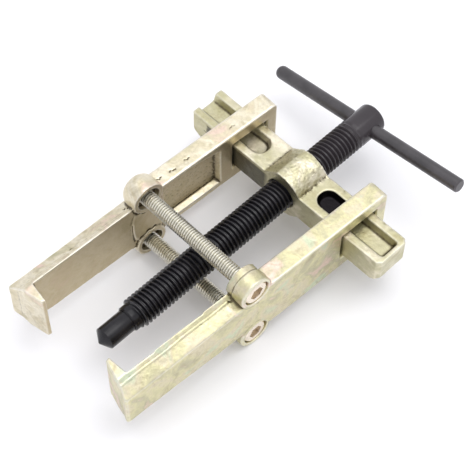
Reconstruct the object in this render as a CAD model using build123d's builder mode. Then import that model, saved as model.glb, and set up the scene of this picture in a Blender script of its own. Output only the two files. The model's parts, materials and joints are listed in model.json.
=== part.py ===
"""Two-arm gear puller: a crossbeam with a forcing screw, and two hooked arms joined by tie screws."""

from build123d import *
import os
from math import cos, radians, sin

os.makedirs("parts", exist_ok=True)

# ---------------------------------------------------------------------------
# Driving dimensions, in millimetres and degrees.
# The origin is the tip of the forcing screw's point. X runs along the crossbeam,
# Y along the forcing screw towards its handle, and Z is up as the tool lies on its side.
# ---------------------------------------------------------------------------
FIT = 0.05  # radial clearance of a screw in its hole
SAME = 0.01  # two lengths closer than this are taken as one
BEAM_Y = 96.0  # the crossbeam's centre line

BEAM_WIDTH = 15.0
BEAM_HEIGHT = 12.4
BEAM_LEFT = -46.2
BEAM_RIGHT = 48.5
BEAM_NOSE = 3.8  # length of the slope under each end
BEAM_NOSE_RISE = 2.5
END_CORNER = 1.5  # the right end's upright corners

HUB_RADIUS = 10.8
HUB_LIFT = 0.5  # hub's centre above the screw's axis
HUB_SLOPE = 39.7  # angle of the flat on the hub's left shoulder
HUB_SLOPE_DISTANCE = 9.56  # that flat, from the hub's centre
BORE_CHAMFER = 0.6

CHANNEL_WIDTH = 8.6
CHANNEL_DEPTH = 3.0
CHANNEL_DRAFT = 20.0
CHANNEL_NOSE = 4.0  # rounding of a channel's end at the hub
CHANNEL_CORNER = 1.4  # and of its corners at the end wall
LEFT_CHANNEL_END = -14.0
RIGHT_CHANNEL_START = 12.8
RIGHT_CHANNEL_END = 46.8
CHANNELS = (
    (RIGHT_CHANNEL_START, RIGHT_CHANNEL_END),
    (LEFT_CHANNEL_END, BEAM_LEFT - CHANNEL_WIDTH),
)

ARM_SKEW = 2.6  # both arms lean by the play of their windows on the beam
RIGHT_ARM_X = 24.27  # inner face where it crosses the beam's centre line
LEFT_ARM_X = -23.39
ARM_THICKNESS = 7.76
ARM_HALF_HEIGHT = 13.2
ARM_TOP = 13.8  # the arm's end beyond the beam, along the arm from the beam's centre line
ARM_END_ROUNDING = 2.2
WINDOW_FROM = -8.0
WINDOW_TO = 8.9
WINDOW_HALF_HEIGHT = 7.1
WINDOW_RIM = 0.7

PARTING_LINE = 2.0  # outward from the inner face
# half heights of the blade at its inner face, parting line and outer face, then its thickness
BLADE_ROOT = (ARM_HALF_HEIGHT, ARM_HALF_HEIGHT - 0.05, ARM_HALF_HEIGHT - 0.1, ARM_THICKNESS)
BLADE_TOP = (12.5, 11.0, 9.1, 7.1)
BLADE_FOOT = (11.7, 10.4, 7.7, 6.8)

POCKET_TOP = -14.3
POCKET_END = -42.0
POCKET_DEPTH = 2.8
POCKET_DRAFT = 20.0
POCKET_UPPER = 10.8
POCKET_LOWER = -12.2
POCKET_LOWER_START = -9.0  # the lower edge slants from here to its full depth
POCKET_SLANT = 14.7

NECK_START = -42.0  # where the arm's outer edges begin to slope in
NECK_END = -48.0
GRIP_AT = -100.4  # the hook's gripping face
HOOK_TIP = -8.3  # how far the hook reaches in from the inner face
# the hook's side view, as (outward from the inner face, beyond the gripping face)
HOOK_OUTLINE = (
    (6.8, 0),
    (0, 0),
    (HOOK_TIP, 0.8),
    (HOOK_TIP + 0.3, 2.4),
    (2.6, 4.9),
    (6.0, 6.3),
    (6.8, 5.6),
)
HOOK_TRIM = (9.0, 14.0, 10.0)  # block that trims its sides: outward, half height and length

WEB_REACH = 8.0  # the raised web between the bosses, an oval
WEB_HALF_HEIGHT = 12.0
WEB_PROUD = 0.5

BOSS_AT = -49.1
BOSS_HEIGHT = 13.5  # bosses above and below the arm's middle
BOSS_RADIUS = 6.7
BOSS_PROUD = 1.0
FLAT_BOSS_END = 7.4
DOMED_BOSS_END = 8.0
DOME_ROUNDING = 4.0
TAPPED_RECESS_RADIUS = 4.75
TAPPED_RECESS_DEPTH = 3.0

SCREW_RADIUS = 6.0  # M12 x 1.75
SCREW_PITCH = 1.75
SCREW_END_Y = 13.0
THREAD_START_Y = 16.0
HEAD_FROM_Y = 127.8
HEAD_END_Y = 139.4
CROSS_HOLE_Y = 133.5
POINT_RADIUS = 4.3
POINT_CONE = 2.6
SPIGOT_RADIUS = 2.5
SPIGOT_LENGTH = 10.0

BAR_RADIUS = 2.75
BAR_FIT = 0.08
BAR_TILT = 8.9
BAR_LEFT = -45.3
BAR_RIGHT = 47.2

TIE_RADIUS = 3.0  # M6 x 1.0
TIE_PITCH = 1.0
TIE_HEAD_RADIUS = 5.0
TIE_HEAD_HEIGHT = 6.0
TIE_HEAD_BORE = 5.15
TIE_SEAT_DEPTH = 6.3  # seat below the right bosses' faces
TIE_SOCKET = 5.0  # hexagon across flats
TIE_SOCKET_DEPTH = 3.0
TIE_PAST_FACE = 6.3  # tip beyond the left arm's inner face

THREAD_DEPTH = 0.6134  # of a metric thread, as shares of its pitch
THREAD_CREST = 0.125
THREAD_ROOT = 0.25
HEAD_SHOULDER = 0.4
HEAD_ROUNDING = 1.2
SPIGOT_GAP = 0.5
POINT_TIP_RADIUS = 0.3
BAR_DIRECTION = (cos(radians(BAR_TILT)), 0, sin(radians(BAR_TILT)))
BAR_CHAMFER = 0.6
BAR_NOSE = 0.9 * BAR_RADIUS  # rounding of its left end
TIE_HEAD_CHAMFER = 0.5
TIE_NECK = 1.0  # plain length under the head
FLAT_BOSS_ROUNDING = 0.6

# ---------------------------------------------------------------------------
# Frames
# ---------------------------------------------------------------------------
LEAN = sin(radians(ARM_SKEW))
BOSS_SHIFT = BOSS_AT * LEAN
TIE_Y = BEAM_Y + BOSS_AT * cos(radians(ARM_SKEW))
TIE_SEAT_X = RIGHT_ARM_X + BOSS_SHIFT + FLAT_BOSS_END - TIE_SEAT_DEPTH
TIE_TIP_X = LEFT_ARM_X + BOSS_SHIFT - TIE_PAST_FACE

# An arm's own frame has x outward from its inner face and y along it towards the handle. The two
# arms are one casting, so the left arm's frame is the right one's turned half over.
RIGHT_FRAME = Plane(
    origin=(RIGHT_ARM_X, BEAM_Y, 0),
    x_dir=(cos(radians(ARM_SKEW)), -LEAN, 0),
    z_dir=(0, 0, 1),
)
LEFT_FRAME = Plane(
    origin=(LEFT_ARM_X, BEAM_Y, 0),
    x_dir=(-cos(radians(ARM_SKEW)), LEAN, 0),
    z_dir=(0, 0, -1),
)


def along_beam(y):
    """Plane across the forcing screw at y, with x to the right and y up; it faces the hooks."""
    return Plane.XZ.offset(-y)


def across_arm(frame, along):
    """Plane across an arm, with x outward and y over its height; it faces the hook."""
    middle = frame.from_local_coords((0, along, 0))
    return Plane(origin=middle, x_dir=frame.x_dir, z_dir=-frame.y_dir)


def on_arm(frame, outward):
    """Plane parallel to an arm's inner face, with x along the arm and y over its height."""
    middle = frame.from_local_coords((outward, 0, 0))
    return Plane(origin=middle, x_dir=frame.y_dir, z_dir=frame.x_dir)


def facing_right(x):
    """Plane square to X at x, with x along Y and y up."""
    return Plane.YZ.offset(x)


# ---------------------------------------------------------------------------
# Crossbeam
# ---------------------------------------------------------------------------
with BuildPart() as crossbeam:
    half = BEAM_HEIGHT / 2
    with BuildSketch(along_beam(BEAM_Y + BEAM_WIDTH / 2)):
        with BuildLine():
            Polyline(
                (BEAM_LEFT, half),
                (BEAM_RIGHT, half),
                (BEAM_RIGHT, BEAM_NOSE_RISE - half),
                (BEAM_RIGHT - BEAM_NOSE, -half),
                (BEAM_LEFT + BEAM_NOSE, -half),
                (BEAM_LEFT, BEAM_NOSE_RISE - half),
                close=True,
            )
        make_face()
    extrude(amount=BEAM_WIDTH)
    chamfer(crossbeam.edges().filter_by(Axis.Z).group_by(Axis.X)[-1], END_CORNER)
    fillet(crossbeam.edges().filter_by(Axis.Z).group_by(Axis.X)[0], END_CORNER / 2)
    # the hub, a round lump flush with the beam's sides, with a flat on its left shoulder
    with BuildSketch(along_beam(BEAM_Y + BEAM_WIDTH / 2)):
        with Locations((0, HUB_LIFT)):
            Circle(HUB_RADIUS)
            with PolarLocations(HUB_SLOPE_DISTANCE, 1, 90 + HUB_SLOPE):
                off = (Align.MIN, Align.CENTER)
                Rectangle(HUB_RADIUS, 2 * HUB_RADIUS, align=off, mode=Mode.SUBTRACT)
    extrude(amount=BEAM_WIDTH)
    # channels above and below, left ones open at the beam's end, right ones closed by its end wall
    for side in (1, -1):
        face = Plane(origin=(0, BEAM_Y, side * half), x_dir=(1, 0, 0), z_dir=(0, 0, -side))
        for start, end in CHANNELS:
            with BuildSketch(face) as channel:
                with Locations(((start + end) / 2, 0)):
                    Rectangle(abs(end - start), CHANNEL_WIDTH)
                by_end = channel.vertices().sort_by(lambda corner: abs(corner.X - start))
                fillet(by_end[:2], CHANNEL_NOSE)
                fillet(channel.vertices().sort_by(lambda corner: abs(corner.X - end))[:2], CHANNEL_CORNER)
            extrude(amount=CHANNEL_DEPTH, taper=CHANNEL_DRAFT, mode=Mode.SUBTRACT)
    # the screw's bore
    with BuildSketch(along_beam(BEAM_Y + BEAM_WIDTH / 2)):
        Circle(SCREW_RADIUS + FIT)
    extrude(amount=BEAM_WIDTH, mode=Mode.SUBTRACT)
    circles = crossbeam.edges().filter_by(GeomType.CIRCLE)
    chamfer(circles.filter_by(lambda circle: abs(circle.radius - SCREW_RADIUS - FIT) < SAME), BORE_CHAMFER)

crossbeam.part.label = "crossbeam"
export_step(crossbeam.part, "parts/crossbeam.step")


# ---------------------------------------------------------------------------
# Arms
# ---------------------------------------------------------------------------
def blade_section(frame, along, inner, ridge, outer, reach):
    """An arm's section, from its half heights at its inner face, parting line and outer face."""
    upper = [(0, inner), (PARTING_LINE, ridge), (reach, outer)]
    lower = [(across, -height) for across, height in reversed(upper)]
    with BuildSketch(across_arm(frame, along)) as section:
        with BuildLine():
            Polyline(*upper, *lower, close=True)
        make_face()
    return section.sketch


def arm_casting(frame):
    """The arm as cast: window block, pocketed web, tapering blade and hook."""
    with BuildPart() as casting:
        with BuildSketch(across_arm(frame, ARM_TOP)):
            Rectangle(ARM_THICKNESS, 2 * ARM_HALF_HEIGHT, align=(Align.MIN, Align.CENTER))
        extrude(amount=ARM_TOP - NECK_START)
        end_edges = casting.faces().sort_by(Axis.Y)[-1].edges()
        fillet(end_edges.filter_by(lambda edge: abs(edge.length - ARM_THICKNESS) < SAME), ARM_END_ROUNDING)
        sections = [
            blade_section(frame, NECK_START, *BLADE_ROOT),
            blade_section(frame, NECK_END, *BLADE_TOP),
            blade_section(frame, GRIP_AT, *BLADE_FOOT),
        ]
        loft(sections[:2])
        loft(sections[1:])
        # the hook: a ledge with a slanted end face, its outer edges sloping like the blade's
        with BuildSketch(frame):
            with BuildLine():
                Polyline(*[(outward, GRIP_AT - beyond) for outward, beyond in HOOK_OUTLINE], close=True)
            make_face()
        inner, ridge, outer, reach = BLADE_FOOT
        trim_out, trim_height, trim_length = HOOK_TRIM
        extrude(amount=inner, both=True)
        for side in (1, -1):
            with BuildSketch(across_arm(frame, GRIP_AT)):
                with BuildLine():
                    Polyline(
                        (0, side * inner),
                        (PARTING_LINE, side * ridge),
                        (reach, side * outer),
                        (trim_out, side * outer),
                        (trim_out, side * trim_height),
                        (0, side * trim_height),
                        close=True,
                    )
                make_face()
            extrude(amount=trim_length, mode=Mode.SUBTRACT)
        # the pocket in the inner face, deeper side towards the arm's lower edge
        with BuildSketch(on_arm(frame, 0)):
            with BuildLine():
                Polyline(
                    (POCKET_TOP, POCKET_LOWER_START),
                    (POCKET_TOP - POCKET_SLANT, POCKET_LOWER),
                    (POCKET_END, POCKET_LOWER),
                    (POCKET_END, POCKET_UPPER),
                    (POCKET_TOP, POCKET_UPPER),
                    close=True,
                )
            make_face()
        extrude(amount=POCKET_DEPTH, taper=POCKET_DRAFT, mode=Mode.SUBTRACT)
        # the window that rides on the crossbeam, with a sloping rim on each face
        length = WINDOW_TO - WINDOW_FROM
        with BuildSketch(on_arm(frame, 0)):
            with Locations(((WINDOW_FROM + WINDOW_TO) / 2, 0)):
                Rectangle(length, 2 * WINDOW_HALF_HEIGHT)
        extrude(amount=ARM_THICKNESS, mode=Mode.SUBTRACT)
        for outward, into in ((0, 1), (ARM_THICKNESS, -1)):
            rim = on_arm(frame, outward)
            with BuildSketch(rim):
                with Locations(((WINDOW_FROM + WINDOW_TO) / 2, 0)):
                    Rectangle(length + 2 * WINDOW_RIM, 2 * (WINDOW_HALF_HEIGHT + WINDOW_RIM))
            with BuildSketch(rim.offset(into * WINDOW_RIM)):
                with Locations(((WINDOW_FROM + WINDOW_TO) / 2, 0)):
                    Rectangle(length, 2 * WINDOW_HALF_HEIGHT)
            loft(mode=Mode.SUBTRACT)
        # the web between the bosses stands a little proud of the blade
        with BuildSketch(on_arm(frame, -WEB_PROUD)):
            with Locations((BOSS_AT, 0)):
                Ellipse(WEB_REACH, WEB_HALF_HEIGHT)
        extrude(amount=2 * WEB_PROUD)
    return casting.part


def boss(frame, height, end, rounding):
    """One boss, turned about its own axis, with a rounded outer end."""
    foot = frame.from_local_coords((0, BOSS_AT, height))
    with BuildPart() as lump:
        with BuildSketch(Plane(origin=foot, x_dir=frame.x_dir, z_dir=frame.z_dir)) as outline:
            with Locations((-BOSS_PROUD, 0)):
                Rectangle(end + BOSS_PROUD, BOSS_RADIUS, align=(Align.MIN, Align.MIN))
            fillet(outline.vertices().group_by(Axis.X)[-1].sort_by(Axis.Y)[-1], rounding)
        revolve(axis=Axis(foot, frame.x_dir))
    return lump.part


def tie_holes(from_x, length, radius):
    """Cuts a round hole for each tie screw, along X."""
    with BuildSketch(facing_right(from_x)) as holes:
        with Locations((TIE_Y, BOSS_HEIGHT), (TIE_Y, -BOSS_HEIGHT)):
            Circle(radius)
    extrude(holes.sketch, amount=length, mode=Mode.SUBTRACT)


with BuildPart() as right_arm:
    add(arm_casting(RIGHT_FRAME))
    for side in (1, -1):
        add(boss(RIGHT_FRAME, side * BOSS_HEIGHT, FLAT_BOSS_END, FLAT_BOSS_ROUNDING))
    tie_holes(RIGHT_ARM_X - 2 * ARM_THICKNESS, 4 * ARM_THICKNESS, TIE_RADIUS + FIT)
    tie_holes(TIE_SEAT_X, 2 * ARM_THICKNESS, TIE_HEAD_BORE)

right_arm.part.label = "right_arm"
export_step(right_arm.part, "parts/right_arm.step")

with BuildPart() as left_arm:
    add(arm_casting(LEFT_FRAME))
    for side in (1, -1):
        add(boss(LEFT_FRAME, side * BOSS_HEIGHT, DOMED_BOSS_END, DOME_ROUNDING))
    tie_holes(LEFT_ARM_X - 2 * ARM_THICKNESS, 4 * ARM_THICKNESS, TIE_RADIUS + FIT)
    recess_x = LEFT_ARM_X + BOSS_SHIFT + BOSS_PROUD - TAPPED_RECESS_DEPTH
    tie_holes(recess_x, ARM_THICKNESS, TAPPED_RECESS_RADIUS)

left_arm.part.label = "left_arm"
export_step(left_arm.part, "parts/left_arm.step")


# ---------------------------------------------------------------------------
# Screws
# ---------------------------------------------------------------------------
def thread_points(radius, pitch, start, end):
    """Outline of a metric thread's ridges from start to end, as (radius, distance) points."""
    root = radius - THREAD_DEPTH * pitch
    crest = pitch * THREAD_CREST
    flank = pitch * (1 - THREAD_CREST - THREAD_ROOT) / 2
    points = []
    for turn in range(int((end - start) / pitch)):
        foot = start + turn * pitch
        points += [(root, foot), (radius, foot + flank), (radius, foot + flank + crest)]
        points += [(root, foot + 2 * flank + crest)]
    return points


def revolved(plane, points, axis):
    """Turns an outline of (radius, distance) points about an axis."""
    with BuildSketch(plane) as outline:
        with BuildLine():
            Polyline(*points, close=True)
        make_face()
    revolve(outline.sketch, axis=axis)


# the forcing screw: threaded shank, thread run-out above the point, plain cross-drilled head
with BuildPart() as forcing_screw:
    core = SCREW_RADIUS - THREAD_DEPTH * SCREW_PITCH
    ridges = thread_points(SCREW_RADIUS, SCREW_PITCH, THREAD_START_Y, HEAD_FROM_Y)
    lower_end = [(0, SCREW_END_Y), (core, SCREW_END_Y)]
    head = [(SCREW_RADIUS, HEAD_FROM_Y + HEAD_SHOULDER)]
    head += [(SCREW_RADIUS, HEAD_END_Y - HEAD_ROUNDING)]
    head += [(SCREW_RADIUS - HEAD_ROUNDING, HEAD_END_Y), (0, HEAD_END_Y)]
    revolved(Plane.XY, lower_end + ridges + head, Axis.Y)
    with BuildSketch(along_beam(SCREW_END_Y + SPIGOT_LENGTH + SPIGOT_GAP)):
        Circle(SPIGOT_RADIUS + FIT)
    extrude(amount=SPIGOT_LENGTH + SPIGOT_GAP, mode=Mode.SUBTRACT)
    with BuildSketch(Plane(origin=(0, CROSS_HOLE_Y, 0), x_dir=(0, 1, 0), z_dir=BAR_DIRECTION)):
        Circle(BAR_RADIUS + BAR_FIT)
    extrude(amount=2 * SCREW_RADIUS, both=True, mode=Mode.SUBTRACT)

forcing_screw.part.label = "forcing_screw"
export_step(forcing_screw.part, "parts/forcing_screw.step")

# the point: a plain dog with a coned end, whose spigot sits in the screw's end
with BuildPart() as screw_point:
    outline = [(0, 0), (POINT_TIP_RADIUS, 0), (POINT_RADIUS, POINT_CONE), (POINT_RADIUS, SCREW_END_Y)]
    outline += [(SPIGOT_RADIUS, SCREW_END_Y), (SPIGOT_RADIUS, SCREW_END_Y + SPIGOT_LENGTH)]
    outline += [(0, SCREW_END_Y + SPIGOT_LENGTH)]
    revolved(Plane.XY, outline, Axis.Y)

screw_point.part.label = "screw_point"
export_step(screw_point.part, "parts/screw_point.step")

# the T-bar: one end rounded, the other cut square with a small chamfer
with BuildPart() as tommy_bar:
    centre = (0, CROSS_HOLE_Y, 0)
    with BuildSketch(Plane(origin=centre, x_dir=BAR_DIRECTION, z_dir=(0, 1, 0))) as outline:
        with Locations((BAR_LEFT, 0)):
            Rectangle(BAR_RIGHT - BAR_LEFT, BAR_RADIUS, align=(Align.MIN, Align.MIN))
        fillet(outline.vertices().group_by(Axis.X)[0].sort_by(Axis.Y)[-1], BAR_NOSE)
        chamfer(outline.vertices().group_by(Axis.X)[-1].sort_by(Axis.Y)[-1], BAR_CHAMFER)
    revolve(axis=Axis(centre, BAR_DIRECTION))

tommy_bar.part.label = "tommy_bar"
export_step(tommy_bar.part, "parts/tommy_bar.step")


def tie_screw(height):
    """A socket-head screw along X, its head in the right arm and its tip in the left."""
    axis = Axis((0, TIE_Y, height), (-1, 0, 0))
    plane = Plane(origin=(0, TIE_Y, height), x_dir=(0, 1, 0), z_dir=(0, 0, 1))
    with BuildPart() as screw:
        core = TIE_RADIUS - THREAD_DEPTH * TIE_PITCH
        head_end = -TIE_SEAT_X - TIE_HEAD_HEIGHT
        outline = [(0, head_end), (TIE_HEAD_RADIUS - TIE_HEAD_CHAMFER, head_end)]
        outline += [(TIE_HEAD_RADIUS, head_end + TIE_HEAD_CHAMFER), (TIE_HEAD_RADIUS, -TIE_SEAT_X)]
        outline += [(TIE_RADIUS, -TIE_SEAT_X)]
        outline += thread_points(TIE_RADIUS, TIE_PITCH, TIE_NECK - TIE_SEAT_X, -TIE_TIP_X - TIE_PITCH / 2)
        outline += [(core - TIE_PITCH / 4, -TIE_TIP_X), (0, -TIE_TIP_X)]
        revolved(plane, outline, axis)
        with BuildSketch(facing_right(-head_end)):
            with Locations((TIE_Y, height)):
                RegularPolygon(TIE_SOCKET / 2, 6, major_radius=False)
        extrude(amount=-TIE_SOCKET_DEPTH, mode=Mode.SUBTRACT)
    return screw.part


for name, height in (("upper_tie_screw", BOSS_HEIGHT), ("lower_tie_screw", -BOSS_HEIGHT)):
    part = tie_screw(height)
    part.label = name
    export_step(part, f"parts/{name}.step")
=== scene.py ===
"""Looks of the two-arm gear puller: zinc-plated castings, blackened screw and T-bar, bright tie screws."""

import json
import math

import bmesh
import bpy
import numpy as np
from mathutils import Matrix, Vector, noise


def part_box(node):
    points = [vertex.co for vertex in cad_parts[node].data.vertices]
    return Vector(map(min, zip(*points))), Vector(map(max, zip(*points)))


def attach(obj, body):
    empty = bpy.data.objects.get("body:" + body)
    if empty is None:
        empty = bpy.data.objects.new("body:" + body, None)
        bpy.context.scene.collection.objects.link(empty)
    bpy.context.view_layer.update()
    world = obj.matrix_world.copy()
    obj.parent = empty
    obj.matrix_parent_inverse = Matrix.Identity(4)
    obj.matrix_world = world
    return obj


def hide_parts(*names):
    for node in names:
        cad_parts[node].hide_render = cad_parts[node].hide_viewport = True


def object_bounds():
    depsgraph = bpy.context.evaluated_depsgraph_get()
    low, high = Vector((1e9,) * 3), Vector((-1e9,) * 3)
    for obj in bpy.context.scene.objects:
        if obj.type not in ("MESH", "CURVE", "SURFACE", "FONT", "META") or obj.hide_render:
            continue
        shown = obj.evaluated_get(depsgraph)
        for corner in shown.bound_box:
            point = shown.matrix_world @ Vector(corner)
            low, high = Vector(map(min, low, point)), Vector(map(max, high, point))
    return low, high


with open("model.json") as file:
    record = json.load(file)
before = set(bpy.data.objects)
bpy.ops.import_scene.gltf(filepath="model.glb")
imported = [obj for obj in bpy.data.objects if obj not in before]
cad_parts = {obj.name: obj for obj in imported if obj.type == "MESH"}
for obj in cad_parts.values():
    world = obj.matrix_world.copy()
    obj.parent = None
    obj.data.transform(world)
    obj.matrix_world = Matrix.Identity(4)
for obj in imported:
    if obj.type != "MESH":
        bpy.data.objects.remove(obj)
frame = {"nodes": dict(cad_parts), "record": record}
CAD_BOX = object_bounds()

# ---------------------------------------------------------------------------
# Sizes. The frame is in metres; values written here are in millimetres unless they say otherwise.
# ---------------------------------------------------------------------------
MM = 0.001

CAMERA_AIM = (2.3, 64.1, 0.0)
CAMERA_AZIMUTH = 44.68
CAMERA_ELEVATION = 57.56
CAMERA_ROLL = 0.81
CAMERA_DISTANCE = 527.65
CAMERA_LENS = 111.84

BEAM_Y = 96.0
ARM_SKEW = 2.6
RIGHT_ARM_X = 24.27
LEFT_ARM_X = -23.39
BOSS_AT = -49.1
BOSS_HEIGHT = 13.5
CASTING_VOXEL = 0.33
BEAM_VOXEL = 0.3

THREAD_DEPTH = 0.6134  # of a metric thread, in pitches
THREAD_POINTS = (0.0, 0.3125, 0.4375, 0.75)  # along one pitch: foot, crest start, crest end, root
SCREW_SEGMENTS = 96
TIE_SEGMENTS = 56
BAR_SEGMENTS = 64
HOLE_SEGMENTS = 72

SCREW_THREAD_FROM = 15.2
SCREW_HEAD_LENGTH = 11.6  # from the head's top to the thread's end
SCREW_WASH_OUT = 5.5  # length over which the thread's roots rise into the head
BOSS_RADIUS = 6.7
BORE_REACH = 5.7  # wider than any bore and narrower than a boss
BORE_CLEARANCE = 0.12
HEAD_ROUNDING = 1.5
TIE_HEAD_HEIGHT = 6.0
TIE_HEAD_CHAMFER = 0.5
TIE_SOCKET = 5.0
TIE_SOCKET_DEPTH = 3.0
BAR_TILT = 8.9
TIE_RADIUS = 3.0
TIE_NECK = 0.7  # from under the head to the thread's start
TIE_THREAD_STOP = 0.5  # from the thread's end to the tip
TIE_FADE = 0.8  # length over which the thread's crests rise and fall
TIE_EDGE = 0.2  # small break of the head's edges
TIE_TIP_CHAMFER = 0.3
SCREW_FADE = 1.6
SCREW_FOOT_CHAMFER = 0.5
BAR_CLEARANCE = 0.08  # round the T-bar in its cross hole
BAR_SHORT = 0.1  # the ends stay this much inside the CAD bar
BAR_CHAMFER = 0.5
BAR_END_ROUNDING = 0.85  # in radii
POINT_SLOPE = 31  # of the cone, in degrees
POINT_NECK = 0.12
POINT_LAP = 0.3  # the shoulder starts this far before the screw's end, and the neck ends as far inside it

FLOOR_GAP = 0.2
FLOOR_SIZE = 6.0  # in metres


def turn_per_metre(joint):
    """How far a coupled joint turns, in radians, for each metre of the slide it follows."""
    couplings = frame["record"]["behaviour"]["couplings"]
    return next(abs(c["ratio"]) for c in couplings if c["joint"] == joint)


SCREW_PITCH = 2 * math.pi / turn_per_metre("screw_turn") / MM
TIE_PITCH = 2 * math.pi / turn_per_metre("upper_tie_turn") / MM


# ---------------------------------------------------------------------------
# Mesh tools. Every function works in millimetres; place() brings a mesh into the frame.
# ---------------------------------------------------------------------------
def place(name, mesh, matrix, material, body, node, sharp=35):
    """Makes a piece from a mesh in millimetres, puts it in the frame and lets it stand for a CAD node."""
    mesh.transform(matrix)
    inside = np.clip(coordinates(mesh), np.array(CAD_BOX[0]), np.array(CAD_BOX[1]))
    mesh.vertices.foreach_set("co", inside.ravel())
    mesh.materials.clear()
    mesh.materials.append(material)
    mesh.polygons.foreach_set("use_smooth", [True] * len(mesh.polygons))
    if sharp:
        mesh.set_sharp_from_angle(angle=math.radians(sharp))
    mesh.update()
    piece = bpy.data.objects.new(name, mesh)
    bpy.context.scene.collection.objects.link(piece)
    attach(piece, body)
    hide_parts(node)
    return piece


def frame_matrix(origin, x_axis, z_axis):
    """Matrix from millimetres in a local frame to metres in the object's frame."""
    x, z = Vector(x_axis).normalized(), Vector(z_axis).normalized()
    y = z.cross(x)
    turn = Matrix((x, y, z)).transposed().to_4x4()
    return Matrix.Translation(Vector(origin) * MM) @ turn @ Matrix.Scale(MM, 4)


def evaluated(mesh, add_modifiers):
    """A new mesh with modifiers applied."""
    holder = bpy.data.objects.new("holder", mesh)
    bpy.context.scene.collection.objects.link(holder)
    add_modifiers(holder)
    graph = bpy.context.evaluated_depsgraph_get()
    result = bpy.data.meshes.new_from_object(holder.evaluated_get(graph), depsgraph=graph)
    bpy.data.objects.remove(holder)
    return result


def welded(mesh, distance=1e-3):
    """Joins vertices that share a place."""
    shape = bmesh.new()
    shape.from_mesh(mesh)
    bmesh.ops.remove_doubles(shape, verts=shape.verts, dist=distance)
    bmesh.ops.recalc_face_normals(shape, faces=shape.faces)
    shape.to_mesh(mesh)
    shape.free()
    return mesh


def lathe_and_thread(below, above, thread, segments):
    """A screw about local Z: outline below, helical thread, outline above, as one closed mesh.

    Outlines are (radius, distance) points. thread is (crest radius, pitch, start, end, fade, wash-out):
    the crests fade in over the fade, and out again too unless the roots rise over the wash-out.
    """
    points, faces = [], []

    def ring(radius, distance):
        first = len(points)
        if radius < 1e-6:
            points.append((0.0, 0.0, distance))
            return [first] * segments
        for i in range(segments):
            angle = 2 * math.pi * i / segments
            points.append((radius * math.cos(angle), radius * math.sin(angle), distance))
        return list(range(first, first + segments))

    def skin(rings):
        for low, high in zip(rings, rings[1:]):
            for i in range(segments):
                k = (i + 1) % segments
                corners = [low[i], low[k], high[k], high[i]]
                corners = list(dict.fromkeys(corners))
                if len(corners) > 2:
                    faces.append(corners)

    if thread is None:
        skin([ring(*point) for point in below + above])
    else:
        crest, pitch, start, end, fade, wash_out = thread
        root = crest - THREAD_DEPTH * pitch
        skin([ring(*point) for point in below + [(root, start)]])
        skin([ring(*point) for point in [(crest if wash_out else root, end)] + above])
        first = len(points)
        turns = math.ceil((end - start) / pitch) + 2
        steps = turns * segments + 1
        for n in range(steps):
            angle = 2 * math.pi * (n % segments) / segments
            for j, share in enumerate(THREAD_POINTS):
                along = min(max(start + pitch * (n / segments - 1 + share), start), end)
                rise = min((along - start) / fade, 1.0)
                rise = rise if wash_out else min(rise, (end - along) / fade)
                foot = max(0.0, 1 - (end - along) / wash_out) if wash_out else 0.0
                radius = root + (crest - root) * (rise if j in (1, 2) else foot)
                points.append((radius * math.cos(angle), radius * math.sin(angle), along))
        width = len(THREAD_POINTS)
        for n in range(steps - 1):
            for j in range(width):
                far = n + segments if j == width - 1 else n
                if far + 1 >= steps:
                    continue
                column = 0 if j == width - 1 else j + 1
                a, b = first + n * width + j, first + (n + 1) * width + j
                c, d = first + (far + 1) * width + column, first + far * width + column
                faces.append([a, b, c, d])
    mesh = bpy.data.meshes.new("turned")
    mesh.from_pydata(points, [], faces)
    mesh.validate()
    return welded(mesh)


def rounded_corner(radius, distance, rounding, outward, steps=5):
    """Points round the corner of an outline; outward is +1 where the outline ends upward."""
    points = []
    for step in range(steps + 1):
        angle = math.pi / 2 * step / steps
        inward, back = rounding * (1 - math.cos(angle)), rounding * (1 - math.sin(angle))
        points.append((radius - inward, distance - outward * back))
    return points if outward > 0 else points[::-1]


def cut(mesh, tool):
    """The mesh less a closed tool mesh."""
    cutter = bpy.data.objects.new("cutter", tool)
    bpy.context.scene.collection.objects.link(cutter)

    def add_modifiers(holder):
        boolean = holder.modifiers.new("cut", "BOOLEAN")
        boolean.operation = "DIFFERENCE"
        boolean.solver = "EXACT"
        boolean.object = cutter

    result = evaluated(mesh, add_modifiers)
    bpy.data.objects.remove(cutter)
    return result


def prism(sides, radius, length, matrix, turn=0.0):
    """A closed prism about its own Z, from its middle."""
    shape = bmesh.new()
    bmesh.ops.create_cone(
        shape, cap_ends=True, segments=sides, radius1=radius, radius2=radius, depth=length,
        matrix=matrix @ Matrix.Rotation(turn, 4, "Z"),
    )
    mesh = bpy.data.meshes.new("prism")
    shape.to_mesh(mesh)
    shape.free()
    return mesh


def paint_on(mesh, name, values):
    """Stores one number for each vertex, for a material to read."""
    layer = mesh.attributes.new(name, "FLOAT", "POINT")
    layer.data.foreach_set("value", np.asarray(values, dtype=np.float32))


def coordinates(mesh, kind="co"):
    """The vertices' places, or their normals, one row for each vertex."""
    values = np.empty(len(mesh.vertices) * 3)
    mesh.vertices.foreach_get(kind, values)
    return values.reshape(-1, 3)


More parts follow.
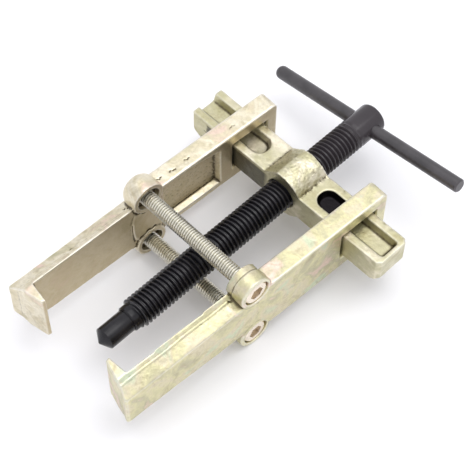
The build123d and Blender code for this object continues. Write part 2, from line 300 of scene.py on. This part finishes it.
def curvature(mesh, rounds, scale):
    """How hollow each vertex lies: 0.5 on a flat, towards 1 in a corner and 0 on an edge."""
    edges = np.empty(len(mesh.edges) * 2, dtype=np.int64)
    mesh.edges.foreach_get("vertices", edges)
    one, other = edges.reshape(-1, 2).T
    start, normals = coordinates(mesh), coordinates(mesh, "normal")
    count = len(start)
    neighbours = np.maximum(np.bincount(one, minlength=count) + np.bincount(other, minlength=count), 1)
    points = start.copy()
    for _ in range(rounds):
        total = [
            np.bincount(one, points[other, k], count) + np.bincount(other, points[one, k], count)
            for k in range(3)
        ]
        points = 0.5 * points + 0.5 * np.stack(total, 1) / neighbours[:, None]
    lift = ((points - start) * normals).sum(1)
    return np.clip(0.5 + lift / scale, 0, 1)


# ---------------------------------------------------------------------------
# Castings: the CAD shape with rounded edges, cast skin, seams and flaws as real relief.
# Places on an arm are q outward from its inner face, s along it from the crossbeam, and z up.
# ---------------------------------------------------------------------------
SKIN_WAVE = 0.06
SKIN_GRIT = 0.035
FLAW_HEIGHT = 8.0  # flaws lie above this, on the arm's upper face
INNER_FACE = -0.6  # normals further inward than this belong to the inner face
POCKET_FLOOR = (2.2, 3.6)
POCKET_SPAN = (-41, -16)
POCKET_LEDGE = -10.1
SLIT_AT = BOSS_AT - 7.8
SLIT_BEND = 0.012
SLIT_SPAN = (-8.5, 3.0)
PIT_AT = (2.4, BOSS_AT - 6.9, BOSS_HEIGHT - 3.4)
SEAM_AT = 2.0
SEAM_HEIGHT = 0.12
BLADE_FROM = -56
BLADE_END = -100

HUB_CROWN = (-9, 10)
HUB_TOP = 5.5
FAR_EDGE = 7.3
PATCH_SPAN = (11.5, 25.5)
NEAR_SHADE_SPAN = (-40.0, -6.5)
CHANNEL_SHADE_SPAN = (-32.0, -13.0)


def soft(distance, width):
    """1 at no distance, falling smoothly to 0 at the width."""
    share = np.clip(1 - np.abs(distance) / width, 0, 1)
    return share * share * (3 - 2 * share)


def between(value, low, high, edge=0.4):
    """1 inside a range, 0 outside it, with soft edges."""
    return np.clip((value - low) / edge + 0.5, 0, 1) * np.clip((high - value) / edge + 0.5, 0, 1)


def lumps(points, size, seed, octaves=2):
    """Smooth noise of about -1 to 1 with features of the given size."""
    shift = Vector((seed * 17.3, seed * 5.1, seed * 9.7))
    return np.array([noise.fractal(Vector(p) / size + shift, 1.0, 2.0, octaves) for p in points])


def cast_skin(points, seed):
    """Waviness and grit of an as-cast surface."""
    return SKIN_WAVE * lumps(points, 9.0, seed) + SKIN_GRIT * lumps(points, 1.6, seed + 1)


def dash(points, across, start, end, width, depth):
    """A short open flaw along an arm's upper parting line."""
    q, s, z = points.T
    wander = 0.25 * np.sin(1.9 * s) + 0.15 * np.sin(5.3 * s)
    return -depth * soft(q - across - wander, width) * between(s, start, end, 0.8) * (z > FLAW_HEIGHT)


def arm_relief(points, normals, seed, features, seam_step):
    """Relief of an arm's surface, in millimetres outward, in the arm's own frame."""
    q, s, z = points.T
    inward = normals[:, 0] < INNER_FACE
    move = cast_skin(points, seed)
    for feature in features:
        move += dash(points, *feature)
    # the pocket's floor is grittier than the faces
    in_pocket = inward & (q > POCKET_FLOOR[0]) & (q < POCKET_FLOOR[1])
    move += in_pocket * 0.10 * lumps(points, 0.9, seed + 41)
    # scale left rough along the pocket's lower edge
    rough = 0.5 * lumps(points, 1.1, seed + 31) + 0.2
    ledge = inward * (q > 1.0) * soft(z - POCKET_LEDGE - rough, 0.7) * between(s, *POCKET_SPAN, 1.5)
    move -= ledge * (0.3 + 0.3 * rough)
    # grooves round the bosses' feet on the inner face, ragged and broken
    for side in (1, -1):
        around = np.hypot(s - BOSS_AT, z - side * BOSS_HEIGHT)
        ragged = 0.3 * np.sin(1.7 * s + side) + 0.2 * np.sin(4.1 * z)
        gap = (s < BOSS_AT + 3) & inward & (q < 1.5)
        move -= 0.3 * gap * soft(around - BOSS_RADIUS - 0.5 - ragged, 0.55)
        # the two halves of the mould meet a little out of line on each boss
        barrel = (around > BOSS_RADIUS - 0.9) & (np.abs(z) > BOSS_HEIGHT - 5)
        barrel &= (np.abs(normals[:, 0]) < 0.5) & (np.abs(s - BOSS_AT) < BOSS_RADIUS + 0.3)
        move -= seam_step * barrel * between(q, -SEAM_AT, SEAM_AT, 0.25)
    # a curved slit beside the web, and a hollow on the upper boss's hook side
    slit = s - (SLIT_AT + SLIT_BEND * z * z)
    move -= 0.4 * inward * soft(slit, 0.4) * between(z, *SLIT_SPAN, 1.0)
    pit = np.linalg.norm(points - np.array(PIT_AT), axis=1)
    move -= 0.55 * soft(pit, 1.0)
    # the parting line down the hook's end face and along the blade
    seam = (s < BLADE_END) | ((s < BLADE_FROM) & (np.abs(z) > FLAW_HEIGHT))
    move += seam * SEAM_HEIGHT * soft(q - SEAM_AT - 0.1 * np.sin(0.8 * z + 0.3 * s), 0.45)
    # the bores are machined: no cast skin, and a running clearance for the screws
    bore = (np.hypot(s - BOSS_AT, np.abs(z) - BOSS_HEIGHT) < BORE_REACH) & (np.abs(normals[:, 0]) < 0.7)
    return np.where(bore, -BORE_CLEARANCE, move)


def beam_relief(points, _):
    """Relief of the crossbeam: a rougher skin on the hub's crown and pits along its far edge."""
    x, y, z = points.T
    move = cast_skin(points, 7)
    crown = between(x, *HUB_CROWN, 2) * (z > HUB_TOP)
    move += crown * 0.11 * lumps(points, 0.9, 11, 3)
    far = soft(y - (BEAM_Y + FAR_EDGE), 1.6) * (z > HUB_TOP - 1)
    move -= far * 0.5 * np.clip(lumps(points, 1.8, 15) - 0.25, 0, 1)
    return move


def channel_patch_and_shade(points):
    """A black patch in the right channel, painted shade on the near side and painted shade on the left
    channel's floor.
    """
    x, y, z = points.T
    ragged = 2.5 * lumps(points, 3.0, 21) + 1.0 * lumps(points, 0.9, 22)
    across = y - BEAM_Y
    patch = between(x, PATCH_SPAN[0], PATCH_SPAN[1] + ragged, 2.0) * between(z, 0.0, 5.9, 0.4)
    patch *= np.abs(across) < 5.0
    # painted shade on the hub's near side
    near_shade = 0.56 * between(x, NEAR_SHADE_SPAN[0] + 2 * ragged, NEAR_SHADE_SPAN[1], 4.0) * between(z, -7.0, 5.2, 1.5)
    near_shade *= across < -6.6
    # painted shade on the left channel's floor near the hub
    channel_shade = 0.38 * between(x, CHANNEL_SHADE_SPAN[0] + ragged, CHANNEL_SHADE_SPAN[1], 4.0) * between(z, 0.0, 4.1, 0.5)
    return np.maximum(np.maximum(patch, near_shade), channel_shade)


def no_dark_mark(points):
    """No black patch and no painted shade on any vertex."""
    return np.zeros(len(points))


def casting(
    name, node, material, origin, x_axis, z_axis, voxel, relief, marking=no_dark_mark, shaded=0.0
):
    """Remeshes a CAD node finely, rounds its edges, and moves its surface by the relief."""
    matrix = frame_matrix(origin, x_axis, z_axis)
    mesh = frame["nodes"][node].data.copy()
    mesh.transform(matrix.inverted())
    welded(mesh)

    def add_modifiers(holder):
        remesh = holder.modifiers.new("remesh", "REMESH")
        remesh.mode = "VOXEL"
        remesh.voxel_size = voxel
        smooth = holder.modifiers.new("smooth", "SMOOTH")
        smooth.factor = 0.5
        smooth.iterations = 5

    mesh = evaluated(mesh, add_modifiers)
    points, normals = coordinates(mesh), coordinates(mesh, "normal")
    paint_on(mesh, "dark_mark", marking(points))
    paint_on(mesh, "shaded", shaded * np.clip(-normals[:, 0] * 1.5 - 0.4, 0, 1))
    points = points + normals * relief(points, normals)[:, None]
    mesh.vertices.foreach_set("co", points.ravel())
    mesh.update()
    paint_on(mesh, "hollow", curvature(mesh, 14, 0.5))
    return place(name, mesh, matrix, material, node, node, sharp=0)


# ---------------------------------------------------------------------------
# Materials
# ---------------------------------------------------------------------------
def add(tree, kind, settings=None, **links):
    """Adds a shader node; links are input name (with _ for space) to value or output socket."""
    made = tree.nodes.new(kind)
    for key, value in (settings or {}).items():
        setattr(made, key, value)
    for key, value in links.items():
        socket = made.inputs[key.replace("_", " ")]
        if isinstance(value, bpy.types.NodeSocket):
            tree.links.new(value, socket)
        else:
            socket.default_value = value
    return made


def ramp(tree, factor, stops):
    """Colour ramp from (position, colour) stops."""
    made = tree.nodes.new("ShaderNodeValToRGB")
    elements = made.color_ramp.elements
    while len(elements) > 1:
        elements.remove(elements[-1])
    for index, (position, colour) in enumerate(stops):
        element = elements[0] if index == 0 else elements.new(position)
        element.position = position
        value = colour if hasattr(colour, "__len__") else (colour,) * 3
        element.color = (*value, 1.0)
    tree.links.new(factor, made.inputs["Fac"])
    return made.outputs["Color"]


def mix(tree, factor, first, second):
    """Mixes two colours."""
    made = tree.nodes.new("ShaderNodeMix")
    made.data_type = "RGBA"
    made.clamp_factor = True
    for index, value in ((0, factor), (6, first), (7, second)):
        if isinstance(value, bpy.types.NodeSocket):
            tree.links.new(value, made.inputs[index])
        else:
            made.inputs[index].default_value = (*value, 1.0) if hasattr(value, "__len__") else value
    return made.outputs[2]


def new_material(name):
    """A material with its node tree, its shader and the object's own coordinates."""
    material = bpy.data.materials.new(name)
    material.use_nodes = True
    tree = material.node_tree
    shader = tree.nodes["Principled BSDF"]
    place_of = add(tree, "ShaderNodeTexCoord").outputs["Object"]
    return material, tree, shader, place_of


def noise_value(tree, where, scale, detail=3.0, roughness=0.5, distortion=0.0):
    """Smooth noise over the object; scale is in features a metre."""
    made = add(
        tree, "ShaderNodeTexNoise", Vector=where, Scale=scale, Detail=detail, Roughness=roughness,
        Distortion=distortion,
    )
    return made.outputs["Fac"]


def painted_value(tree, name):
    """A number stored on the mesh's vertices."""
    return add(tree, "ShaderNodeAttribute", {"attribute_name": name}).outputs["Fac"]


def zinc(name, tints, seed, grain=0.4, painted_highlight=0.4):
    """Yellow zinc over a casting: drifting tints, dark pores, dirt and painted shade in the corners,
    painted highlights along the edges.
    """
    material, tree, shader, place_of = new_material(name)
    shift = (seed, seed * 0.7, seed * 0.3)
    shifted = add(tree, "ShaderNodeMapping", Vector=place_of, Location=shift).outputs[0]
    drift = noise_value(tree, shifted, 85, 3, 0.55, 0.6)
    colour = ramp(tree, drift, [(0.32 + 0.36 * i / (len(tints) - 1), tint) for i, tint in enumerate(tints)])
    fine = noise_value(tree, shifted, 900, 4, 0.65)
    colour = mix(tree, ramp(tree, fine, [(0.35, 0.0), (0.75, 0.30)]), colour, PORE)
    blotch = noise_value(tree, shifted, 170, 5, 0.7, 1.2)
    colour = mix(tree, ramp(tree, blotch, [(0.52, 0.0), (0.66, 0.42)]), colour, STAIN)
    colour = mix(tree, painted_value(tree, "shaded"), colour, SHADED_SIDE)
    hollow = painted_value(tree, "hollow")
    # dirt and painted shade: corners and creases are darkened towards brown-black
    colour = mix(tree, ramp(tree, hollow, [(0.53, 0.0), (0.70, 0.92)]), colour, DIRT_AND_CORNER_SHADE)
    # painted highlight: convex edges are painted near white
    colour = mix(tree, ramp(tree, hollow, [(0.20, painted_highlight), (0.40, 0.0)]), colour, EDGE_HIGHLIGHT)
    # a black patch, and painted shade, from the marks stored on the crossbeam
    dark_mark = ramp(tree, painted_value(tree, "dark_mark"), [(0.25, 0.0), (0.65, 1.0)])
    colour = mix(tree, dark_mark, colour, BLACK_PATCH_AND_SHADE)
    tree.links.new(colour, shader.inputs["Base Color"])
    patchy = noise_value(tree, shifted, 260, 4, 0.6)
    rough = ramp(tree, patchy, [(0.3, ZINC_ROUGHNESS[0]), (0.7, ZINC_ROUGHNESS[1])])
    tree.links.new(rough, shader.inputs["Roughness"])
    shader.inputs["Metallic"].default_value = 0.92
    bump = add(tree, "ShaderNodeBump", Height=fine, Strength=grain, Distance=0.0002)
    tree.links.new(bump.outputs["Normal"], shader.inputs["Normal"])
    return material


def bright_zinc():
    """Clear zinc plate of the tie screws: painted shade down in the thread, a tan tone on the head."""
    material, tree, shader, place_of = new_material("bright_zinc")
    fine = noise_value(tree, place_of, 1400, 3)
    colour = ramp(tree, fine, [(0.3, (0.82, 0.80, 0.71)), (0.7, (0.96, 0.94, 0.88))])
    # a tan tone over the head
    colour = mix(tree, painted_value(tree, "head"), colour, HEAD_TAN)
    # painted shade: the thread's roots are darkened
    down_in_thread = ramp(tree, painted_value(tree, "crest"), [(0.05, 0.8), (0.4, 0.0)])
    colour = mix(tree, down_in_thread, colour, THREAD_ROOT_SHADE)
    tree.links.new(colour, shader.inputs["Base Color"])
    rough = ramp(tree, noise_value(tree, place_of, 500), [(0.3, 0.24), (0.7, 0.38)])
    tree.links.new(rough, shader.inputs["Roughness"])
    shader.inputs["Metallic"].default_value = 1.0
    bump = add(tree, "ShaderNodeBump", Height=fine, Strength=0.15, Distance=0.0001)
    tree.links.new(bump.outputs["Normal"], shader.inputs["Normal"])
    return material


def black_oxide(name, dark, pale, roughness, specular, grain=0.2, painted_highlight=0.0):
    """Blackened steel with a thin uneven film of oil; a thread's crests get a paler painted highlight, and
    the screw's part beyond the crossbeam is painted paler as painted light.
    """
    material, tree, shader, place_of = new_material(name)
    drift = noise_value(tree, place_of, 120, 4, 0.6)
    colour = ramp(tree, drift, [(0.35, dark), (0.7, pale)])
    if painted_highlight:
        # painted highlight: the thread's crests are painted paler
        painted_crests = ramp(tree, painted_value(tree, "crest"), [(0.55, 0.0), (1.0, painted_highlight)])
        colour = mix(tree, painted_crests, colour, CREST_HIGHLIGHT)
        # painted light: the screw beyond the crossbeam is painted paler, towards charcoal
        colour = mix(tree, painted_value(tree, "far"), colour, CHARCOAL)
    tree.links.new(colour, shader.inputs["Base Color"])
    fine = noise_value(tree, place_of, 1500, 3)
    rough = ramp(tree, noise_value(tree, place_of, 380, 4), [(0.3, roughness[0]), (0.7, roughness[1])])
    tree.links.new(rough, shader.inputs["Roughness"])
    shader.inputs["Specular IOR Level"].default_value = specular
    bump = add(tree, "ShaderNodeBump", Height=fine, Strength=grain, Distance=0.0001)
    tree.links.new(bump.outputs["Normal"], shader.inputs["Normal"])
    return material


OLIVE = (0.49, 0.46, 0.27)
TARNISHED = (0.56, 0.53, 0.35)
CHAMPAGNE = (0.72, 0.65, 0.47)
PALE_GREEN = (0.63, 0.69, 0.50)
YELLOW = (0.71, 0.67, 0.41)
PINK = (0.78, 0.62, 0.52)
CREAM = (0.83, 0.77, 0.62)
PORE = (0.34, 0.31, 0.22)
STAIN = (0.36, 0.30, 0.17)
SHADED_SIDE = (0.50, 0.41, 0.25)
DIRT_AND_CORNER_SHADE = (0.075, 0.058, 0.030)
EDGE_HIGHLIGHT = (0.95, 0.93, 0.86)
BLACK_PATCH_AND_SHADE = (0.014, 0.012, 0.014)
ZINC_ROUGHNESS = (0.28, 0.46)
HEAD_TAN = (0.88, 0.79, 0.67)
THREAD_ROOT_SHADE = (0.26, 0.24, 0.16)
CREST_HIGHLIGHT = (0.07, 0.066, 0.072)
SCREW_BLACK = (0.006, 0.006, 0.008)
POINT_BLACK = (0.008, 0.008, 0.010)
OILED_BLACK = (0.016, 0.015, 0.018)
BAR_BLACK = (0.020, 0.017, 0.020)
CHARCOAL = (0.050, 0.043, 0.048)

arm_metal = zinc("arm_zinc", [PALE_GREEN, CHAMPAGNE, YELLOW, TARNISHED, PINK], 0.4)
left_metal = zinc("left_arm_zinc", [TARNISHED, CHAMPAGNE, CREAM, CHAMPAGNE, PINK], 2.1)
beam_metal = zinc("beam_zinc", [OLIVE, TARNISHED, CREAM], 3.3, grain=0.6, painted_highlight=0.3)
tie_metal = bright_zinc()
screw_metal = black_oxide("screw_black", SCREW_BLACK, OILED_BLACK, (0.13, 0.26), 0.32, painted_highlight=0.4)
point_metal = black_oxide("point_black", POINT_BLACK, OILED_BLACK, (0.16, 0.26), 0.3, grain=0.1)
bar_metal = black_oxide("bar_black", BAR_BLACK, CHARCOAL, (0.30, 0.42), 0.85)

# ---------------------------------------------------------------------------
# Pieces
# ---------------------------------------------------------------------------
lean = math.radians(ARM_SKEW)
ARM_SHADE = 0.75
# Flaws along each upper parting line: q, start and end along s, width, depth.
LEFT_FLAWS = [
    (3.6, -28.6, -26.5, 0.4, 0.5), (3.2, -36.0, -33.2, 0.45, 0.55), (3.7, -41.4, -39.4, 0.4, 0.4),
    (3.4, -7.2, -4.4, 0.3, 0.22), (3.6, -57.6, -56.6, 0.5, 0.4), (2.8, -82.2, -81.2, 0.35, 0.25),
]
RIGHT_FLAWS = [(2.4, -57.4, -56.4, 0.6, 0.5), (2.6, -70.5, -69.8, 0.3, 0.15)]

casting(
    "left_arm_casting", "left_arm", left_metal,
    (LEFT_ARM_X, BEAM_Y, 0), (-math.cos(lean), math.sin(lean), 0), (0, 0, -1), CASTING_VOXEL,
    lambda points, normals: arm_relief(points * (1, 1, -1), normals, 1, LEFT_FLAWS, 0.03), shaded=ARM_SHADE,
)
casting(
    "right_arm_casting", "right_arm", arm_metal,
    (RIGHT_ARM_X, BEAM_Y, 0), (math.cos(lean), -math.sin(lean), 0), (0, 0, 1), CASTING_VOXEL,
    lambda points, normals: arm_relief(points, normals, 2, RIGHT_FLAWS, 0.13), shaded=ARM_SHADE,
)
casting(
    "crossbeam_forging", "crossbeam", beam_metal,
    (0, 0, 0), (1, 0, 0), (0, 0, 1), BEAM_VOXEL, beam_relief, channel_patch_and_shade,
)


def forcing_screw():
    """The M12 screw with its cross-drilled head; returns the hole's height, radius and direction."""
    low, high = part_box("forcing_screw")
    radius, start, top = (high.x - low.x) / 2 / MM, low.y / MM, high.y / MM
    thread_end = top - SCREW_HEAD_LENGTH
    core = radius - THREAD_DEPTH * SCREW_PITCH
    below = [(0, start), (core - SCREW_FOOT_CHAMFER, start), (core, start + SCREW_FOOT_CHAMFER)]
    above = rounded_corner(radius, top, HEAD_ROUNDING, 1) + [(0, top)]
    thread = (radius, SCREW_PITCH, SCREW_THREAD_FROM, thread_end, SCREW_FADE, SCREW_WASH_OUT)
    mesh = lathe_and_thread(below, above, thread, SCREW_SEGMENTS)
    matrix = frame_matrix((0, 0, 0), (1, 0, 0), (0, 1, 0))
    bar_low, bar_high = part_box("tommy_bar")
    bar_y, bar_radius = (bar_low.y + bar_high.y) / 2 / MM, (bar_high.y - bar_low.y) / 2 / MM
    along = Vector((math.cos(math.radians(BAR_TILT)), 0, math.sin(math.radians(BAR_TILT))))
    hole = frame_matrix((0, bar_y, 0), (0, 1, 0), along)
    drill = prism(HOLE_SEGMENTS, bar_radius + BAR_CLEARANCE, 4 * radius, matrix.inverted() @ hole)
    mesh = cut(mesh, drill)
    points = coordinates(mesh)
    out = np.hypot(points[:, 0], points[:, 1])
    paint_on(mesh, "crest", np.clip((out - core) / (radius - core), 0, 1) * (points[:, 2] < thread_end))
    # painted light: how much paler the screw is painted beyond the crossbeam
    paint_on(mesh, "far", np.clip((points[:, 2] - BEAM_Y - 4) / 14, 0, 0.85))
    place(
        "forcing_screw_turned", mesh, matrix, screw_metal, "forcing_screw", "forcing_screw",
    )
    return bar_y, bar_radius, along


def screw_point():
    """The plain point with its cone."""
    low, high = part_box("screw_point")
    radius, top = (high.x - low.x) / 2 / MM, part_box("forcing_screw")[0].y / MM
    cone = radius * math.tan(math.radians(POINT_SLOPE))
    below = [(0, 0), (0.3, 0.02), (radius - 0.25, cone - 0.17), (radius, cone + 0.12)]
    neck, end = radius - POINT_NECK, top + POINT_LAP
    above = [(radius, top - POINT_LAP), (neck, top - 0.05), (neck, end), (0, end)]
    mesh = lathe_and_thread(below, above, None, SCREW_SEGMENTS)
    place("screw_point_turned", mesh, frame_matrix((0, 0, 0), (1, 0, 0), (0, 1, 0)), point_metal,
          "screw_point", "screw_point")


def tommy_bar(bar_y, radius, along):
    """The T-bar: left end rounded over, right end cut square with a small chamfer."""
    low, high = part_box("tommy_bar")
    slant = along.x
    left = (low.x / MM + BAR_SHORT) / slant
    right = (high.x / MM - BAR_SHORT - radius * along.z) / slant
    below = [(0, left)] + rounded_corner(radius, left, BAR_END_ROUNDING * radius, -1, 8)
    above = [(radius, 0), (radius, right - BAR_CHAMFER), (radius - BAR_CHAMFER, right), (0, right)]
    mesh = lathe_and_thread(below, above, None, BAR_SEGMENTS)
    place("tommy_bar_turned", mesh, frame_matrix((0, bar_y, 0), (0, 1, 0), along), bar_metal,
          "tommy_bar", "tommy_bar")


def tie_screw(node):
    """An M6 socket-head screw along X, its head to the right."""
    low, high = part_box(node)
    head_x, tip_x = high.x / MM, low.x / MM
    middle_y, middle_z = (low.y + high.y) / 2 / MM, (low.z + high.z) / 2 / MM
    head_radius, radius = (high.z - low.z) / 2 / MM, TIE_RADIUS
    length = head_x - tip_x
    core = radius - THREAD_DEPTH * TIE_PITCH
    below = [(0, 0), (head_radius - TIE_HEAD_CHAMFER - TIE_EDGE, 0)]
    below += [(head_radius - 0.15, TIE_HEAD_CHAMFER), (head_radius, TIE_HEAD_CHAMFER + 0.25)]
    below += [(head_radius, TIE_HEAD_HEIGHT - TIE_EDGE), (head_radius - TIE_EDGE, TIE_HEAD_HEIGHT)]
    below += [(core, TIE_HEAD_HEIGHT)]
    above = [(core, length - TIE_TIP_CHAMFER), (core - TIE_TIP_CHAMFER, length), (0, length)]
    start, end = TIE_HEAD_HEIGHT + TIE_NECK, length - TIE_THREAD_STOP
    thread = (radius, TIE_PITCH, start, end, TIE_FADE, 0)
    mesh = lathe_and_thread(below, above, thread, TIE_SEGMENTS)
    hexagon = TIE_SOCKET / 2 / math.cos(math.pi / 6)
    mesh = cut(mesh, prism(6, hexagon, 2 * TIE_SOCKET_DEPTH, Matrix.Identity(4), math.pi / 6))
    points = coordinates(mesh)
    out, in_head = np.hypot(points[:, 0], points[:, 1]), points[:, 2] < TIE_HEAD_HEIGHT + 0.1
    paint_on(mesh, "crest", np.where(in_head, 1.0, np.clip((out - core) / (radius - core), 0, 1)))
    paint_on(mesh, "head", in_head)
    matrix = frame_matrix((head_x, middle_y, middle_z), (0, 1, 0), (-1, 0, 0))
    place(node + "_turned", mesh, matrix, tie_metal, node, node)


bar_place = forcing_screw()
screw_point()
tommy_bar(*bar_place)
tie_screw("upper_tie_screw")
tie_screw("lower_tie_screw")

# ---------------------------------------------------------------------------
# Stage, lights and camera
# ---------------------------------------------------------------------------
OVERHEAD_LAMP = {"azimuth": 185, "elevation": 84, "distance": 1.0, "size": 0.9, "power": 3.2}
KEY_LAMP = {"azimuth": 140, "elevation": 63, "distance": 1.0, "size": 0.5, "power": 0.9}
SKY_BRIGHTEST = (195, 58)  # azimuth and elevation
SKY = [(0.0, (0.82, 0.82, 0.85)), (0.55, (0.80, 0.80, 0.83)), (0.85, (0.86, 0.86, 0.88))]
SKY_STRENGTH = 1.17
FLOOR_COLOUR = (0.95, 0.95, 0.97, 1)


def towards(azimuth, elevation):
    """Direction from the object to a lamp or a viewer, from angles in degrees."""
    turn, rise = math.radians(azimuth), math.radians(elevation)
    return Vector((math.sin(turn) * math.cos(rise), -math.cos(turn) * math.cos(rise), math.sin(rise)))


def stage():
    """A plain pale floor under the lowest point."""
    level = Matrix.Translation((0, 0, CAD_BOX[0].z - FLOOR_GAP * MM))
    mesh = bpy.data.meshes.new("floor")
    shape = bmesh.new()
    bmesh.ops.create_grid(shape, x_segments=1, y_segments=1, size=FLOOR_SIZE, matrix=level)
    shape.to_mesh(mesh)
    shape.free()
    floor = bpy.data.objects.new("floor", mesh)
    bpy.context.scene.collection.objects.link(floor)
    material, _, shader, _ = new_material("floor")
    shader.inputs["Base Color"].default_value = FLOOR_COLOUR
    shader.inputs["Roughness"].default_value = 0.7
    shader.inputs["Specular IOR Level"].default_value = 0.2
    mesh.materials.append(material)


def softbox(name, azimuth, elevation, distance, size, power):
    """A square soft light that looks at the object; distance and size in metres."""
    light = bpy.data.lights.new(name, "AREA")
    light.shape, light.size, light.energy = "SQUARE", size, power
    lamp = bpy.data.objects.new(name, light)
    bpy.context.scene.collection.objects.link(lamp)
    back = towards(azimuth, elevation)
    lamp.location = Vector(CAMERA_AIM) * MM + back * distance
    lamp.rotation_mode = "QUATERNION"
    lamp.rotation_quaternion = (-back).to_track_quat("-Z", "Y")


def lights():
    """Large dim panels, and a sky that is brighter behind the object than in front of it."""
    softbox("overhead", **OVERHEAD_LAMP)
    softbox("key", **KEY_LAMP)
    world = bpy.data.worlds.new("studio")
    world.use_nodes = True
    tree = world.node_tree
    look = add(tree, "ShaderNodeTexCoord").outputs["Generated"]
    facing = add(tree, "ShaderNodeVectorMath", {"operation": "DOT_PRODUCT"})
    tree.links.new(look, facing.inputs[0])
    facing.inputs[1].default_value = towards(*SKY_BRIGHTEST)
    sky = ramp(tree, facing.outputs["Value"], SKY)
    tree.links.new(sky, tree.nodes["Background"].inputs["Color"])
    tree.nodes["Background"].inputs["Strength"].default_value = SKY_STRENGTH
    bpy.context.scene.world = world


def camera():
    """The view of the whole tool from above its right front."""
    azimuth, roll = math.radians(CAMERA_AZIMUTH), math.radians(CAMERA_ROLL)
    forward = -towards(CAMERA_AZIMUTH, CAMERA_ELEVATION)
    level = Vector((math.cos(azimuth), math.sin(azimuth), 0))
    above = level.cross(forward)
    right = level * math.cos(roll) + above * math.sin(roll)
    up = above * math.cos(roll) - level * math.sin(roll)
    data = bpy.data.cameras.new("camera")
    data.lens, data.sensor_width = CAMERA_LENS, 36.0
    data.clip_start, data.clip_end = 0.01, 20.0
    eye = bpy.data.objects.new("camera", data)
    bpy.context.scene.collection.objects.link(eye)
    turn = Matrix((right, up, -forward)).transposed().to_4x4()
    eye.matrix_world = Matrix.Translation(Vector(CAMERA_AIM) * MM - forward * CAMERA_DISTANCE * MM) @ turn
    bpy.context.scene.camera = eye


stage()
lights()
camera()
bpy.context.scene.view_settings.view_transform = "Standard"
